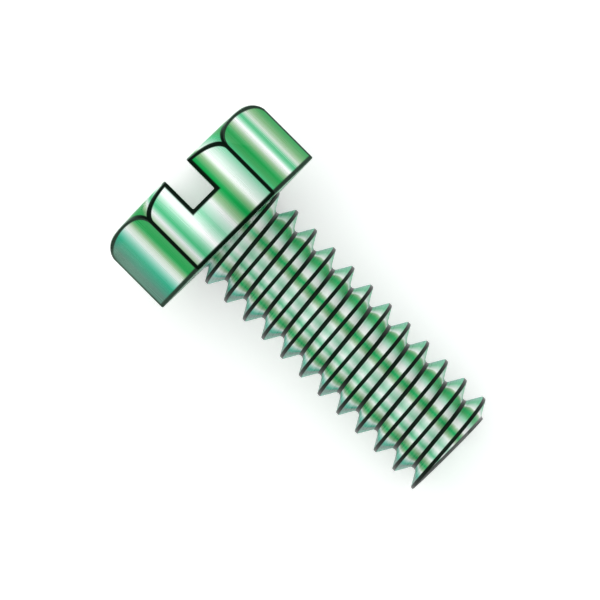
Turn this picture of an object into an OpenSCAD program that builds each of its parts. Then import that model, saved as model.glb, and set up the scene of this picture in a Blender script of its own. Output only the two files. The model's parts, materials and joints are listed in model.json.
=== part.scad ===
/* [Head] */
// Width of the hexagon across two opposite flats
head_af = 7.4; // [6.5:0.1:9.5]
// Height of the head, from its bearing face to its top
head_h = 3.45; // [2.8:0.05:4.5]
// Radius of the rounding around the rim of the head's top
crown_r = 0.85; // [0.4:0.05:1.2]

/* [Driver slot] */
// Width of the slot that is sawn across the head's top
slot_w = 1.2; // [0.8:0.05:1.6]
// Depth of the slot below the head's top
slot_depth = 1.6; // [0.8:0.05:2.2]

/* [Thread] */
// Major diameter of the thread, over its crests
thread_d = 4.62; // [4:0.02:5.2]
// Distance from one crest to the next, with 24 threads to the inch
pitch = 1.0583; // [0.8:0.0001:1.27]
// Length from the bearing face to the flat tip, all of it threaded
shank_l = 12.2; // [8:0.1:18]
// Angle around the axis at which a crest leaves the bearing face
thread_start = 90; // [0:5:355]

/* [Neck] */
// Height of the fillet that joins the bearing face to the first root
fillet_h = 0.3; // [0.15:0.05:0.5]

/* [Hidden] */

finish = "#2fa866";

// A 60 degree thread keeps an eighth of the pitch flat at its crest and a quarter at its root
crest_flat = pitch / 8;
root_flat = pitch / 4;
thread_depth = (pitch - crest_flat - root_flat) / 2 / tan(30);
crest_r = thread_d / 2;
root_r = crest_r - thread_depth;
// The rolled root is a little deeper in its middle than at its sides
root_dip = pitch / 30;
// Steps that one turn of the thread is drawn in
turn_steps = 48;
// The ribbon starts this many turns above the bearing face, and is trimmed inside the head
lead_turns = 2;
sink = 0.2;

corner_r = head_af / 2 / cos(30);
// The crown's curve ends just outside the corners, so it leaves no sharp step there
crown_over = 0.02;
// The fillet's foot stands just outside the crests, so a hole's rim seats on the flat face
foot_gap = 0.01;
foot_r = crest_r + foot_gap;
// How far a cutting tool runs past what it cuts
past = 1;

// Lying down, the screw touches at a flat's edge under the head and at the last low crest
low_angle = 0;
crest_phase = (thread_start - low_angle) / 360;
low_turn = floor(shank_l / pitch + crest_phase + crest_flat / 2 / pitch);
low_z = min(shank_l, (low_turn - crest_phase) * pitch + crest_flat / 2);
rest_tilt = atan((head_af / 2 - crest_r) / low_z);

// One pitch of the profile, as places along the axis and radii, from crest to crest
thread_form = [
    [-crest_flat / 2, crest_r],
    [crest_flat / 2, crest_r],
    [(pitch - root_flat) / 2, root_r],
    [pitch / 2, root_r - root_dip],
    [(pitch + root_flat) / 2, root_r]
];
form_n = len(thread_form);
ribbon_steps = turn_steps * ceil(shank_l / pitch + lead_turns + 1);

// A point of the thread: its step along the helix, and its place across the ribbon
function thread_point(step, place) =
    let (
        angle = thread_start + 360 * step / turn_steps,
        z = pitch * (step / turn_steps - lead_turns) + thread_form[place][0],
        r = thread_form[place][1]
    )
    [r * cos(angle), r * sin(angle), z];

// The ribbon's far edge is the near edge of the next turn, so those points are shared
function thread_index(step, place) =
    place == form_n ? thread_index(step + turn_steps, 0)
    : step <= ribbon_steps ? step * form_n + place
    : (ribbon_steps + 1) * form_n + step - ribbon_steps - 1;

// The middle of the cap that closes the ribbon's open turn after a given step
function cap_point(step) =
    [0, 0, thread_point(step, 0)[2] + pitch / 2];

// A profile one pitch wide, wound around the axis as a ribbon whose turns join edge to edge
module thread_ribbon() {
    places = [for (step = [0:ribbon_steps], place = [0:form_n - 1]) thread_point(step, place)];
    last_edge = [for (step = [1:turn_steps]) thread_point(ribbon_steps + step, 0)];
    caps = [cap_point(0), cap_point(ribbon_steps)];
    head_cap = len(places) + len(last_edge);
    tip_cap = head_cap + 1;
    flanks = [
        for (step = [0:ribbon_steps - 1], place = [0:form_n - 1])
            let (
                a = thread_index(step, place),
                b = thread_index(step + 1, place),
                c = thread_index(step + 1, place + 1),
                d = thread_index(step, place + 1)
            )
            each [[a, d, c], [a, c, b]]
    ];
    head_fan = [
        for (step = [0:turn_steps - 1])
            [head_cap, thread_index(step, 0), thread_index(step + 1, 0)]
    ];
    head_step = [
        for (place = [0:form_n - 1])
            [head_cap, thread_index(0, place + 1), thread_index(0, place)]
    ];
    tip_fan = [
        for (step = [0:turn_steps - 1])
            [
                tip_cap,
                thread_index(ribbon_steps + step + 1, 0),
                thread_index(ribbon_steps + step, 0)
            ]
    ];
    tip_step = [
        for (place = [0:form_n - 1])
            [
                tip_cap,
                thread_index(ribbon_steps, place),
                thread_index(ribbon_steps, place + 1)
            ]
    ];
    polyhedron(
        points = concat(places, last_edge, caps),
        faces = concat(flanks, head_fan, head_step, tip_fan, tip_step)
    );
}

// The thread, cut square at the tip and sunk a little way into the head
module threaded_shank() {
    intersection() {
        thread_ribbon();
        translate([0, 0, -sink])
            cylinder(r = crest_r + past, h = sink + shank_l);
    }
}

// Solid of revolution that rounds the rim of the head's top
module crown() {
    rotate_extrude() {
        translate([0, -head_h])
            square([corner_r + crown_over - crown_r, head_h]);
        translate([0, crown_r - head_h])
            square([corner_r + crown_over, head_h - crown_r]);
        translate([corner_r + crown_over - crown_r, crown_r - head_h])
            circle(r = crown_r);
    }
}

// Hexagon with its flats square to X, its bearing face at z = 0 and its rounded top below
module hex_head() {
    intersection() {
        translate([0, 0, -head_h])
            rotate([0, 0, 30])
                cylinder(r = corner_r, h = head_h, $fn = 6);
        crown();
    }
}

// Straight slot with a flat floor, open at two opposite flats
module driver_slot() {
    translate([-corner_r - past, -slot_w / 2, -head_h - past])
        cube([2 * (corner_r + past), slot_w, slot_depth + past]);
}

// Hollow curve from the bearing face down to the first root
module neck_fillet() {
    inner_r = root_r - 2 * root_dip;
    curve = [
        for (turn = [0:30:90])
            [foot_r - (foot_r - inner_r) * sin(turn), fillet_h * (1 - cos(turn))]
    ];
    rotate_extrude()
        polygon(concat([[0, fillet_h], [0, -sink], [foot_r, -sink]], curve));
}

// The whole screw, lying on the edge of a flat and on its last low crest
module screw() {
    color(finish)
        rotate([0, 90 + rest_tilt, 0]) {
            difference() {
                hex_head();
                driver_slot();
            }
            neck_fillet();
            threaded_shank();
        }
}

screw();
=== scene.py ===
import json
import math

import bpy
from mathutils import Matrix, Vector


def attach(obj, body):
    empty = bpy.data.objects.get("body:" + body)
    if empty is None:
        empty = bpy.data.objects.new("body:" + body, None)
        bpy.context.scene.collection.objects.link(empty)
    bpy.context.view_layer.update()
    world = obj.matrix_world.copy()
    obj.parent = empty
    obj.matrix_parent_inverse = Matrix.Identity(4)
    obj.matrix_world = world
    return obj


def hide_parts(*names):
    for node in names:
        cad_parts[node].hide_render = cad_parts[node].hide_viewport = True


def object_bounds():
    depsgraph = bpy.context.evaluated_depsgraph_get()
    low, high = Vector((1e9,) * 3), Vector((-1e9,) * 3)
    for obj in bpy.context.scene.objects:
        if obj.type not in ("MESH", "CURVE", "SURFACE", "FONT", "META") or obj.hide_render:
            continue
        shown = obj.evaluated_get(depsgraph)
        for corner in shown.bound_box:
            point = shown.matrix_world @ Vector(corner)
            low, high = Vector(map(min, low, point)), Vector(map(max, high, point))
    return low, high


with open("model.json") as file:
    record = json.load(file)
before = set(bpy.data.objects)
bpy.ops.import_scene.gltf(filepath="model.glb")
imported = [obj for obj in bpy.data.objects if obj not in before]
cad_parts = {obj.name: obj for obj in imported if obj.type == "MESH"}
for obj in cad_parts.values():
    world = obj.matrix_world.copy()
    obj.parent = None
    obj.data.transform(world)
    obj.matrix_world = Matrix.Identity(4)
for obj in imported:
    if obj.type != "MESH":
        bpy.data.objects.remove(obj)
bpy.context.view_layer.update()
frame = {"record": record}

# How the screw lies: on the edge of a flat under its head and on its last low crest.
# The bearing face's mount gives the middle of that face and the way the shank points.
MM = 0.001
mounts = {mount["name"]: mount for mount in frame["record"]["mounts"]}
seat = Vector(mounts["bearing_face"]["pos_m"])
along = Vector(mounts["bearing_face"]["axis"]).normalized()
across = Vector((0, 1, 0))
upward = along.cross(across)
lying = Matrix((-upward, across, along)).transposed().to_4x4()

# The camera looks down square to the upper flat from far off, as a drawing does, and is
# turned so that the head is at the upper left and the tip at the lower right.
LENS = 400
SENSOR = 36
VIEW_WIDTH = 24.02 * MM
VIEW_ALONG = 3.66 * MM
VIEW_ACROSS = -0.14 * MM
CLIP_SHARE = 10
camera_data = bpy.data.cameras.new("camera")
camera_data.lens = LENS
camera_data.sensor_width = SENSOR
camera_distance = VIEW_WIDTH * LENS / SENSOR
camera_data.clip_start = camera_distance / CLIP_SHARE
camera_data.clip_end = camera_distance * CLIP_SHARE
camera = bpy.data.objects.new("camera", camera_data)
bpy.context.scene.collection.objects.link(camera)
right = (along + across).normalized()
top = (across - along).normalized()
target = seat + along * VIEW_ALONG + across * VIEW_ACROSS
camera.matrix_world = Matrix.Translation(target + upward * camera_distance) @ Matrix(
    (right, top, upward)
).transposed().to_4x4()
bpy.context.scene.camera = camera

# Head: the end of a steel wire, upset cold and trimmed by a die to six flats, with the rim
# of its top left round. A saw has cut the driver's slot straight across it, from flat to
# flat. It is modelled with the bearing face at z = 0, the top below and the tip above.
HEAD_FLATS = 7.4
HEAD_H = 3.45
SLOT_W = 1.2
SLOT_DEPTH = 1.6
EDGE_R = 0.06
EDGE_SEGMENTS = 4
corner_r = HEAD_FLATS / 2 / math.cos(math.radians(30))


def only(piece):
    """Makes one object the only selected and the active one."""
    bpy.ops.object.select_all(action="DESELECT")
    piece.select_set(True)
    bpy.context.view_layer.objects.active = piece


def bar(sides, start, end):
    """Adds a bar between two heights, as wide as the hexagon is over its corners."""
    bpy.ops.object.select_all(action="DESELECT")
    bpy.ops.mesh.primitive_cylinder_add(
        vertices=sides, radius=corner_r, depth=end - start, location=(0, 0, (start + end) / 2)
    )
    bpy.ops.object.transform_apply(location=True, rotation=True, scale=True)
    return bpy.context.active_object


def combine(piece, tool, operation):
    """Applies a boolean of one object with another, and deletes the other."""
    only(piece)
    bpy.ops.object.modifier_add(type="BOOLEAN")
    boolean = piece.modifiers[-1]
    boolean.operation = operation
    boolean.solver = "EXACT"
    boolean.object = tool
    bpy.ops.object.modifier_apply(modifier=boolean.name)
    bpy.data.objects.remove(tool)


screw = bar(6, -HEAD_H, 0)
screw.name = "screw_finished"
bpy.ops.mesh.primitive_cube_add(size=1, location=(0, 0, -HEAD_H))
saw = bpy.context.active_object
saw.scale = (3 * corner_r, SLOT_W, 2 * SLOT_DEPTH)
combine(screw, saw, "DIFFERENCE")

only(screw)
bpy.ops.object.modifier_add(type="BEVEL")
bevel = screw.modifiers[-1]
bevel.width = EDGE_R
bevel.segments = EDGE_SEGMENTS
bevel.limit_method = "ANGLE"
bpy.ops.object.modifier_apply(modifier=bevel.name)

# The crown is a round blank whose top rim is bevelled to a quarter circle, and what it
# shares with the hexagon is the head. It stands a hair proud so that no faces coincide.
CROWN_R = 0.85
CROWN_STEPS = 256
CROWN_SEGMENTS = 18
CROWN_PROUD = 0.001
CROWN_BELOW = 1
crown_top = -(HEAD_H + CROWN_PROUD)
crown = bar(CROWN_STEPS, crown_top, CROWN_BELOW)
bpy.ops.object.mode_set(mode="EDIT")
bpy.ops.mesh.select_mode(type="EDGE")
bpy.ops.mesh.select_all(action="DESELECT")
bpy.ops.object.mode_set(mode="OBJECT")
points = crown.data.vertices
for edge in crown.data.edges:
    edge.select = all(points[index].co.z < crown_top + EDGE_R for index in edge.vertices)
bpy.ops.object.mode_set(mode="EDIT")
bpy.ops.mesh.bevel(
    offset=CROWN_R, segments=CROWN_SEGMENTS, affect="EDGES", clamp_overlap=False
)
bpy.ops.object.mode_set(mode="OBJECT")
combine(screw, crown, "INTERSECT")

# Shank: the same wire, rolled between dies into a right-hand thread from the head to the
# tip, which is cut off square. The rolled crests are slightly round at their edges and the
# roots are hollow. It is wound as a ribbon from past both ends, which are then cut away.
thread_dims = mounts["thread"]["dims"]
CREST_R = thread_dims["r_mm"]
SHANK_L = thread_dims["length_mm"]
PITCH = 1.0583
CREST_FLAT = PITCH / 8
CREST_ROUND = 0.04
CREST_STEPS = 3
ROOT_ROUND = 0.17 * PITCH
ROOT_STEPS = 4
FLANK_DEGREES = 30
THREAD_START = 90
TURN_STEPS = 128
LEAD_TURNS = 2
TAIL_TURNS = 3
SINK = 0.25
MERGE_REACH = 0.0001
CUT_REACH = 1e-6


def arc(centre, radius, start, end, steps):
    """Points on an arc in the plane of the axis, as (radius, height) pairs."""
    angles = [math.radians(start + (end - start) * i / steps) for i in range(steps + 1)]
    return [
        (centre[0] + radius * math.cos(a), centre[1] + radius * math.sin(a)) for a in angles
    ]


def spun(outline, rise=0.0, turns=1):
    """Spins an outline of (radius, height) pairs round the axis, rising as it turns."""
    bpy.ops.object.select_all(action="DESELECT")
    bpy.ops.mesh.primitive_plane_add(size=1)
    piece = bpy.context.active_object
    bpy.ops.object.mode_set(mode="EDIT")
    bpy.ops.mesh.select_mode(type="VERT")
    bpy.ops.mesh.merge(type="CENTER")
    bpy.ops.transform.translate(value=(outline[0][0], 0, outline[0][1]))
    for before, after in zip(outline, outline[1:]):
        move = (after[0] - before[0], 0, after[1] - before[1])
        bpy.ops.mesh.extrude_region_move(TRANSFORM_OT_translate={"value": move})
    bpy.ops.object.mode_set(mode="OBJECT")
    bpy.ops.object.modifier_add(type="SCREW")
    winding = piece.modifiers[-1]
    winding.angle = math.tau
    winding.steps = TURN_STEPS
    winding.render_steps = TURN_STEPS
    winding.screw_offset = rise
    winding.iterations = turns
    winding.use_merge_vertices = True
    winding.merge_threshold = MERGE_REACH
    bpy.ops.object.modifier_apply(modifier=winding.name)
    bpy.ops.object.mode_set(mode="EDIT")
    bpy.ops.mesh.select_all(action="SELECT")
    bpy.ops.mesh.remove_doubles(threshold=MERGE_REACH)
    bpy.ops.mesh.normals_make_consistent(inside=False)
    bpy.ops.object.mode_set(mode="OBJECT")
    return piece


# The profile runs from one root's middle to the next: hollow, flank, crest, flank, hollow.
# At the thread's start angle the middle of a crest passes the bearing face.
flank_angle = math.radians(FLANK_DEGREES)
steep = 90 - FLANK_DEGREES
sharp_root = CREST_R - (PITCH - CREST_FLAT) / 2 / math.tan(flank_angle)
root_centre = sharp_root + ROOT_ROUND / math.sin(flank_angle)
root_r = root_centre - ROOT_ROUND
crest_turn = math.tan((math.pi / 2 - flank_angle) / 2) * CREST_ROUND
crest_side = CREST_FLAT / 2 - crest_turn
root_low = arc((root_centre, -PITCH / 2), ROOT_ROUND, 180, 180 - steep, ROOT_STEPS)
crest_low = arc((CREST_R - CREST_ROUND, -crest_side), CREST_ROUND, -steep, 0, CREST_STEPS)
half = root_low + crest_low
profile = half + [(r, -z) for r, z in reversed(half)]
first_crest = (-THREAD_START / 360 - LEAD_TURNS) * PITCH
shank = spun(
    [(r, z + first_crest) for r, z in profile],
    rise=PITCH,
    turns=math.ceil(SHANK_L / PITCH) + LEAD_TURNS + TAIL_TURNS,
)
only(shank)
bpy.ops.object.mode_set(mode="EDIT")
for cut_z, outwards in ((-SINK, -1), (SHANK_L, 1)):
    bpy.ops.mesh.select_all(action="SELECT")
    bpy.ops.mesh.bisect(
        plane_co=(0, 0, cut_z),
        plane_no=(0, 0, outwards),
        clear_outer=True,
        use_fill=True,
        threshold=CUT_REACH,
    )
bpy.ops.mesh.select_all(action="SELECT")
bpy.ops.mesh.normals_make_consistent(inside=False)
bpy.ops.object.mode_set(mode="OBJECT")

# A hollow fillet leads from the bearing face down to the first root.
FILLET_H = 0.3
FILLET_GAP = 0.01
FILLET_STEPS = 9
fillet_foot = CREST_R + FILLET_GAP
fillet_neck = root_r - FILLET_GAP
quarter_turn = [math.radians(90 * i / FILLET_STEPS) for i in range(FILLET_STEPS + 1)]
fillet_curve = [
    (fillet_foot - (fillet_foot - fillet_neck) * math.sin(a), FILLET_H * (1 - math.cos(a)))
    for a in quarter_turn
]
fillet = spun([(0, -SINK), (fillet_foot, -SINK), *fillet_curve, (0, FILLET_H)])
combine(shank, fillet, "UNION")
combine(screw, shank, "UNION")

# The finished screw is laid down where its solid is.
SEAM_REACH = 0.0005
SMOOTH_UNDER = math.radians(32)
only(screw)
bpy.ops.object.mode_set(mode="EDIT")
bpy.ops.mesh.select_all(action="SELECT")
bpy.ops.mesh.remove_doubles(threshold=SEAM_REACH)
bpy.ops.mesh.normals_make_consistent(inside=False)
bpy.ops.object.mode_set(mode="OBJECT")
bpy.ops.object.shade_smooth_by_angle(angle=SMOOTH_UNDER)
screw.matrix_world = Matrix.Translation(seat) @ lying @ Matrix.Scale(MM, 4)
bpy.ops.object.transform_apply(location=True, rotation=True, scale=True)
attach(screw, "root")
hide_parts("screw")

# Plating: bright zinc dyed green, with light and shade painted into its colour. Streaks along
# the screw run from silver through green to olive and teal, much the same on opposite sides:
# the thin film's own tints, and painted reflections and highlights. Painted dark lines lie
# along the edges, on the crests and in the roots: painted dark edges, and painted shade in the
# roots.
PLATING_AND_PAINTED_LIGHT = {
    # The first colour below is that of the painted dark lines: painted dark edges, and painted
    # shade in the roots.
    "edge": "#020d07",
    "deep": "#129546",
    "green": "#3b9754",
    "mid": "#4ab57c",
    "light": "#85cba7",
    "pale": "#b6d9c6",
    # The two whitest colours below are painted highlights.
    "bare": "#ffffff",
    "white": "#f2f8f4",
    "silver": "#dfe4e2",
    "beige": "#ccd7cb",
    "olive": "#7dac7b",
    "teal": "#229f7c",
    "slate": "#567a6f",
}


def eye_colour(colour_key):
    """A listed colour's red, green, blue and opacity, in even steps to the eye."""
    code = PLATING_AND_PAINTED_LIGHT[colour_key]
    return (*(int(code[i : i + 2], 16) / 255 for i in (1, 3, 5)), 1)


class Field:
    """A quantity that varies over a surface: Python operators on it add Math nodes."""

    def __init__(self, tree, socket=None):
        self.tree = tree
        self.socket = socket

    def node(self, kind, settings, inputs, output=0):
        """Adds any node, with its settings and its inputs' values or links."""
        made = self.tree.nodes.new(kind)
        for name, value in settings.items():
            if name == "stops":
                ramp = made.color_ramp.elements
                while len(ramp) < len(value):
                    ramp.new(1)
                for stop, (position, colour) in zip(ramp, value):
                    stop.position = position
                    stop.color = colour
            else:
                setattr(made, name, value)
        for name, value in inputs.items():
            if isinstance(value, Field):
                self.tree.links.new(value.socket, made.inputs[name])
            else:
                made.inputs[name].default_value = value
        return Field(self.tree, made.outputs[output])

    def maths(self, operation, first, second=0.0):
        """One Math node on two numbers or fields."""
        return self.node("ShaderNodeMath", {"operation": operation}, {0: first, 1: second})

    def __add__(self, other):
        return self.maths("ADD", self, other)

    __radd__ = __add__

    def __sub__(self, other):
        return self.maths("SUBTRACT", self, other)

    def __rsub__(self, other):
        return self.maths("SUBTRACT", other, self)

    def __mul__(self, other):
        return self.maths("MULTIPLY", self, other)

    __rmul__ = __mul__

    def __truediv__(self, other):
        return self.maths("DIVIDE", self, other)

    def __rtruediv__(self, other):
        return self.maths("DIVIDE", other, self)

    def __pow__(self, other):
        return self.maths("POWER", self, other)

    def __abs__(self):
        return self.maths("ABSOLUTE", self)

    def __gt__(self, other):
        return self.maths("GREATER_THAN", self, other)

    def __lt__(self, other):
        return self.maths("LESS_THAN", self, other)

    def least(self, other):
        """The lower of two, at each point."""
        return self.maths("MINIMUM", self, other)

    def most(self, other):
        """The higher of two, at each point."""
        return self.maths("MAXIMUM", self, other)

    def fading(self, width, blur):
        """1 up to a width, and from there smoothly down to 0 over the blur."""
        return self.node(
            "ShaderNodeMapRange",
            {"interpolation_type": "SMOOTHSTEP"},
            {"Value": self, "From Min": width, "From Max": width + blur, "To Min": 1, "To Max": 0},
        )

    def ramp(self, stops):
        """A colour for each value, from (value, colour) stops, of which a ramp holds 32."""
        return self.node("ShaderNodeValToRGB", {"stops": stops}, {0: self})

    def parts(self):
        """The three numbers of a vector."""
        return [
            self.node("ShaderNodeSeparateXYZ", {}, {0: self}, output) for output in range(3)
        ]

    def noise(self, *scales):
        """Even noise, as fine along each axis as its scale says."""
        stretched = self.node(
            "ShaderNodeVectorMath", {"operation": "MULTIPLY"}, {0: self, 1: scales}
        )
        return self.node(
            "ShaderNodeTexNoise", {}, {"Vector": stretched, "Scale": 1, "Detail": 2}
        )

    def mixed(self, other, factor):
        """This colour, with another over it where the factor is 1."""
        return self.node(
            "ShaderNodeMix", {"data_type": "RGBA"}, {0: factor, 6: self, 7: other}, 2
        )


# Places on the screw, in millimetres: along the axis from the bearing face to the tip, to
# one side and to the upper side. Two places closer than the gap count as one.
FACE_GAP = 0.002
plating = bpy.data.materials.new("green_zinc_plating")
plating.use_nodes = True
tree = plating.node_tree
shader = tree.nodes["Principled BSDF"]
film = Field(tree)
surface = film.node("ShaderNodeTexCoord", {}, {}, "Object")
tilt = math.atan2(-along.z, along.x)
place = film.node(
    "ShaderNodeMapping",
    {},
    {"Vector": surface, "Rotation": (0, -tilt, 0), "Scale": (1 / MM, 1 / MM, 1 / MM)},
)
from_seat, to_side, to_top = place.parts()
from_axis = (to_side * to_side + to_top * to_top) ** 0.5
crest_radii = from_axis / CREST_R
past_wall = abs(to_side) - SLOT_W / 2
past_floor = from_seat + (HEAD_H - SLOT_DEPTH)
on_thread = from_seat > 0.0
on_tip = from_seat > SHANK_L - FACE_GAP
on_top = from_seat < -(HEAD_H - FACE_GAP)
under_head = (abs(from_seat) < FACE_GAP) * (from_axis > CREST_R)
on_end = on_top.most(under_head).most(on_tip)
in_slot = (past_wall < FACE_GAP) * (past_floor < FACE_GAP)

# Angle round the axis from the upper side or the lower, whichever is nearer. The thread's
# painted reflection bands lie in upright planes, as reflections do on a plain cylinder, until
# they fan out at the sides and on the tip. The power says how late and how suddenly they do.
FAN_POWER = 12
half_side = to_side * film.maths("SIGN", to_top)
bearing = film.maths("ARCTAN2", half_side, abs(to_top))
plane_bearing = film.maths("ARCSINE", (half_side / CREST_R).least(1.0).most(-1.0))
fanned = ((half_side / from_axis) ** FAN_POWER).most(on_tip)
thread_bearing = plane_bearing + fanned * (bearing - plane_bearing)

# Distances along the head's surface from its edges, for its painted dark lines: the rim of the
# crown, which runs down into the hexagon's corners, the mouth of the slot and the foot. Where
# only one side of an edge is seen, distances to it count for less, so that its painted line comes
# out as wide.
SEEN_ONCE = 0.65
UPPER_RIM = (math.radians(55), math.radians(25))
SLOPE_LEAST = 0.1
flat_turn = math.pi / 3
in_flat = film.maths("FRACT", bearing / flat_turn + 0.5) - 0.5
sideways = film.maths("SINE", in_flat * flat_turn)
squarely = film.maths("COSINE", in_flat * flat_turn)
over_rim = (from_axis - (corner_r - CROWN_R)).most(0.0)
over_crown = (crown_top + CROWN_R - from_seat).most(0.0)
crown_reach = (over_rim * over_rim + over_crown * over_crown) ** 0.5
under_crown = CROWN_R - crown_reach
in_from_flat = HEAD_FLATS / 2 - from_axis * squarely
under_top = from_seat + HEAD_H
rim_run = over_rim * sideways
rim_slope = (over_crown * over_crown + rim_run * rim_run) ** 0.5 / crown_reach
rim_share = abs(bearing).fading(*UPPER_RIM) * (1 - SEEN_ONCE) + SEEN_ONCE
from_rim = under_crown.most(in_from_flat) / rim_slope.most(SLOPE_LEAST) * rim_share
from_outside = in_from_flat.least(under_top).least(under_crown)
from_mouth = past_wall.most(past_floor).most(from_outside) * SEEN_ONCE
from_foot = (from_seat * -1).most(in_from_flat) * SEEN_ONCE
from_edge = from_rim.least(from_mouth).least(from_foot)

# Painted dark lines: painted dark edges, and painted shade in the roots. How far each reaches
# from its edge, and over how much more it fades. On the thread they lie on the crests, in the
# roots and round the tip.
EDGE_PAINTED_LINE = (0.08, 0.05)
CREST_PAINTED_LINE = (0.01, 0.02)
ROOT_PAINTED_SHADE = (0.015, 0.015)
TIP_PAINTED_LINE = (0.11, 0.05)
PAINTED_LINE_STRENGTH = 0.95
head_painted_lines = from_edge.fading(*EDGE_PAINTED_LINE)
crest_painted_line = (CREST_R - from_axis).fading(*CREST_PAINTED_LINE)
root_painted_shade = (from_axis - root_r).fading(*ROOT_PAINTED_SHADE)
tip_painted_line = (SHANK_L - from_seat).fading(*TIP_PAINTED_LINE)
thread_painted_lines = crest_painted_line.most(root_painted_shade.most(tip_painted_line) * (1 - on_tip))
painted_lines = head_painted_lines + on_thread * (thread_painted_lines - head_painted_lines)

# Painted reflection bands of the head and of the thread, in the plating's tints, with slate
# towards one side of the head as painted shade: angle round the axis from the upper side, and
# colour.
HEAD_TINTS_AND_PAINTED_REFLECTIONS = (
    (-90, "mid"), (-88, "slate"), (-82, "slate"), (-68, "teal"), (-54, "silver"),
    (-49.5, "beige"), (-44.5, "olive"), (-39.5, "deep"), (-31, "green"), (-29.5, "olive"),
    (-26, "silver"), (-22.5, "mid"), (-14.5, "bare"), (-7, "light"), (2, "silver"),
    (7.5, "olive"), (12, "deep"), (16.5, "olive"), (20, "white"), (25, "pale"),
    (28, "light"), (31, "mid"), (37, "green"), (42.5, "deep"), (49, "olive"),
    (54, "beige"), (58, "bare"), (66, "mid"), (72.5, "beige"), (79.5, "olive"),
    (87, "green"), (90, "mid"),
)
THREAD_TINTS_AND_PAINTED_REFLECTIONS = (
    (-90, "teal"), (-60, "slate"), (-53, "teal"), (-43, "white"), (-39, "olive"),
    (-35, "deep"), (-30, "olive"), (-25, "white"), (-20, "mid"), (-13, "bare"),
    (-6, "light"), (2, "white"), (6, "olive"), (11, "deep"), (15, "olive"),
    (18, "white"), (23, "silver"), (29, "light"), (34, "green"), (38, "deep"),
    (41, "green"), (44, "olive"), (47, "bare"), (52, "pale"), (60, "mid"), (90, "teal"),
)
# The grain is long along the screw and fine across it, and moves the streaks sideways by up
# to half this share of half a turn.
STREAK_GRAIN = (0.15, 5, 5)
WANDER = 0.012
streak = place.noise(*STREAK_GRAIN)


def tint_and_reflection_bands(angle, bands):
    """The colour at an angle round the axis, along painted reflection bands that wander a little.
    """
    stops = [(0.5 + degrees / 180, eye_colour(colour_key)) for degrees, colour_key in bands]
    return (angle / math.pi + 0.5 + (streak - 0.5) * WANDER).ramp(stops)


# In the slot and in the middle of the two ends the streaks give way to soft clouds, which
# are darker away from the axis. Towards the rim of an end they are thinner, and mix with
# the streaks.
CLOUDS = (
    (0.0, "silver"), (0.25, "pale"), (0.45, "light"), (0.7, "mid"), (1.0, "green"),
)
CLOUD_GRAIN = (0.35, 0.35, 0.35)
CLOUD_CONTRAST = 1.2
CLOUD_START = -0.4
CLOUD_RISE = 0.5
CLOUD_MIDDLE = (0.0, 0.6)
CLOUD_LEFT = 0.4
cloud = (
    place.noise(*CLOUD_GRAIN) * CLOUD_CONTRAST + CLOUD_START + from_axis * (CLOUD_RISE / corner_r)
)
cloud_dye = cloud.ramp([(level, eye_colour(colour_key)) for level, colour_key in CLOUDS])
cloudy = in_slot.most(on_end * crest_radii.fading(*CLOUD_MIDDLE).most(CLOUD_LEFT))

# The flanks of the thread and the neck under the head shade one another, so their colour is
# painted lighter there, by a lower gamma, to make up for that shade. Elsewhere an ordinary gamma
# takes it from the eye's steps.
GAMMA = 2.2
FLANK_PAINTED_LIFT = 0.35
NECK_PAINTED_LIFT = 1.2
NECK_ALONG = (0.2, 1)
NECK_AROUND = (1.0, 0.4)
neck = abs(from_seat).fading(*NECK_ALONG) * crest_radii.fading(*NECK_AROUND)
painted_lift = (on_thread * FLANK_PAINTED_LIFT + neck * NECK_PAINTED_LIFT) * (1 - painted_lines)
# The head's and the thread's painted reflections and highlights, in the plating's tints.
head_tints_and_reflections = tint_and_reflection_bands(bearing, HEAD_TINTS_AND_PAINTED_REFLECTIONS)
thread_tints_and_reflections = tint_and_reflection_bands(thread_bearing, THREAD_TINTS_AND_PAINTED_REFLECTIONS)
bands_and_clouds = head_tints_and_reflections.mixed(thread_tints_and_reflections, on_thread).mixed(cloud_dye, cloudy)
# Painted dark lines go over the colour here: painted dark edges, and painted shade in the roots.
eye_colour_with_painted_lines = bands_and_clouds.mixed(eye_colour("edge"), painted_lines * PAINTED_LINE_STRENGTH)
# Painted light: the colour is lifted on the flanks and in the neck, where they lie in shade.
base_colour_with_painted_light = film.node("ShaderNodeGamma", {}, {0: eye_colour_with_painted_lines, 1: GAMMA / (painted_lift + 1)})

# Fine relief: the trimming die's drag lines along the flats, lines round the shank from
# the rolling dies, and the saw's long arcs in the slot. On the thread the film hides the
# metal, and on the head it lets it gleam.
SAW_R = 25
SAW_GRAIN = (9, 9, 0.15)
ROLLED_GRAIN = (9, 0.3, 0.3)
RELIEF_DEPTH = 0.005 * MM
RELIEF_STRENGTH = 0.6
SMOOTHEST = 0.2
RELIEF_ROUGH = 0.16
END_ROUGH = 0.05
HEAD_METAL = 0.6
SHEEN = 0.15
SHEEN_TINT = (0.6, 0.9, 0.7, 1)
saw_arc = from_seat + to_top * to_top * (0.5 / SAW_R)
saw_place, rolled_place = (
    film.node("ShaderNodeCombineXYZ", {}, {0: first, 1: to_side, 2: to_top})
    for first in (saw_arc, from_axis)
)
saw_marks = saw_place.noise(*SAW_GRAIN)
rolled = rolled_place.noise(*ROLLED_GRAIN)
outer_relief = streak + on_thread.most(on_end) * (rolled - streak)
relief = outer_relief + in_slot * (saw_marks - outer_relief)
roughness = relief * RELIEF_ROUGH + SMOOTHEST + on_end * END_ROUGH
metallic = (1 - on_thread) * HEAD_METAL
bump = film.node(
    "ShaderNodeBump",
    {},
    {"Strength": RELIEF_STRENGTH, "Distance": RELIEF_DEPTH, "Height": relief},
)
tree.links.new(base_colour_with_painted_light.socket, shader.inputs["Base Color"])
tree.links.new(metallic.socket, shader.inputs["Metallic"])
tree.links.new(roughness.socket, shader.inputs["Roughness"])
tree.links.new(bump.socket, shader.inputs["Normal"])
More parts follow.
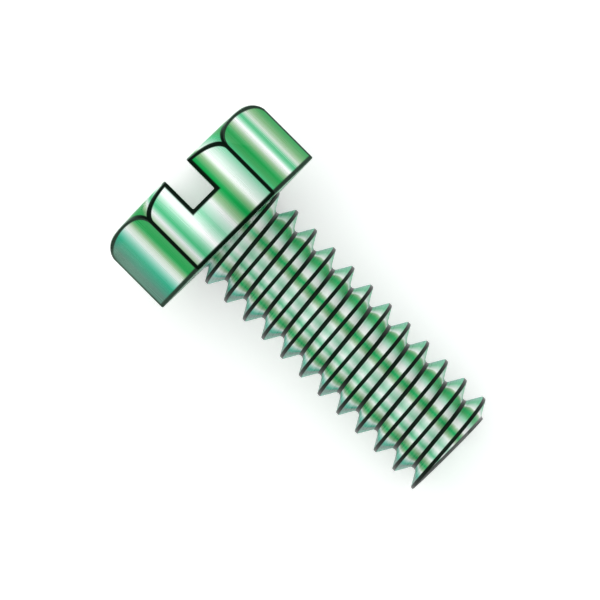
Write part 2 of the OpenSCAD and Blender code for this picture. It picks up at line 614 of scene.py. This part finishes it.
shader.inputs["Specular IOR Level"].default_value = SHEEN
shader.inputs["Specular Tint"].default_value = SHEEN_TINT
screw.data.materials.clear()
screw.data.materials.append(plating)

# Floor: a sheet of white paper that the screw lies on. It glows a little, but only to the
# camera and to rays that a piece mirrors or lets through, so that it shows white without
# lighting the screw, and it keeps the screw's shadow.
FLOOR_SIZE = 2.0
FLOOR_SHADE = 0.9
FLOOR_ROUGHNESS = 0.9
FLOOR_GLOW = 0.36
floor_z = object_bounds()[0].z
bpy.ops.object.select_all(action="DESELECT")
bpy.ops.mesh.primitive_plane_add(size=FLOOR_SIZE, location=(0, 0, floor_z))
floor = bpy.context.active_object
floor.name = "floor"
paper = bpy.data.materials.new("floor_paint")
paper.use_nodes = True
paper_shader = paper.node_tree.nodes["Principled BSDF"]
paper_shader.inputs["Base Color"].default_value = (FLOOR_SHADE, FLOOR_SHADE, FLOOR_SHADE, 1)
paper_shader.inputs["Roughness"].default_value = FLOOR_ROUGHNESS
paper_shader.inputs["Emission Strength"].default_value = 1
paper_field = Field(paper.node_tree)
seen, mirrored, seen_through = (
    paper_field.node("ShaderNodeLightPath", {}, {}, f"Is {ray} Ray")
    for ray in ("Camera", "Glossy", "Transmission")
)
glow = seen.most(mirrored).most(seen_through) * FLOOR_GLOW
paper.node_tree.links.new(glow.socket, paper_shader.inputs["Emission Color"])
floor.data.materials.append(paper)

# Studio: a pale ceiling over the screw, darker walls and a brighter foot all round, each
# from a height that is a share of straight up. The walls show as fine dark lines in the
# rounded edges, which the metal's shape needs.
FOOT = 0.9
WALLS = 0.7
CEILING = 0.85
SHADES = ((0.12, FOOT), (0.25, WALLS), (0.75, WALLS), (0.9, CEILING))
studio = bpy.data.worlds.new("studio")
studio.use_nodes = True
way = Field(studio.node_tree).node("ShaderNodeTexCoord", {}, {}, "Generated")
height = way.node(
    "ShaderNodeVectorMath", {"operation": "DOT_PRODUCT"}, {0: way, 1: tuple(upward)}, "Value"
)
grey = height.ramp([(level, (shade, shade, shade, 1)) for level, shade in SHADES])
background = studio.node_tree.nodes["Background"]
studio.node_tree.links.new(grey.socket, background.inputs["Color"])
background.inputs["Strength"].default_value = 1.0
bpy.context.scene.world = studio

# One soft square lamp stands above the screw and leans to the picture's upper left.
LAMP_UP = 1.2
LAMP_TOP = 0.6
LAMP_LEFT = 0.5
LAMP_DISTANCE = 0.45
LAMP_SIZE = 0.6
LAMP_POWER = 0.8
lamp_data = bpy.data.lights.new("key", "AREA")
lamp_data.size = LAMP_SIZE
lamp_data.energy = LAMP_POWER
lamp = bpy.data.objects.new("key", lamp_data)
bpy.context.scene.collection.objects.link(lamp)
lamp_way = (upward * LAMP_UP + top * LAMP_TOP - right * LAMP_LEFT).normalized()
lamp.location = target + lamp_way * LAMP_DISTANCE
lamp.rotation_mode = "QUATERNION"
lamp.rotation_quaternion = lamp_way.to_track_quat("Z", "Y")
bpy.context.scene.view_settings.view_transform = "Standard"
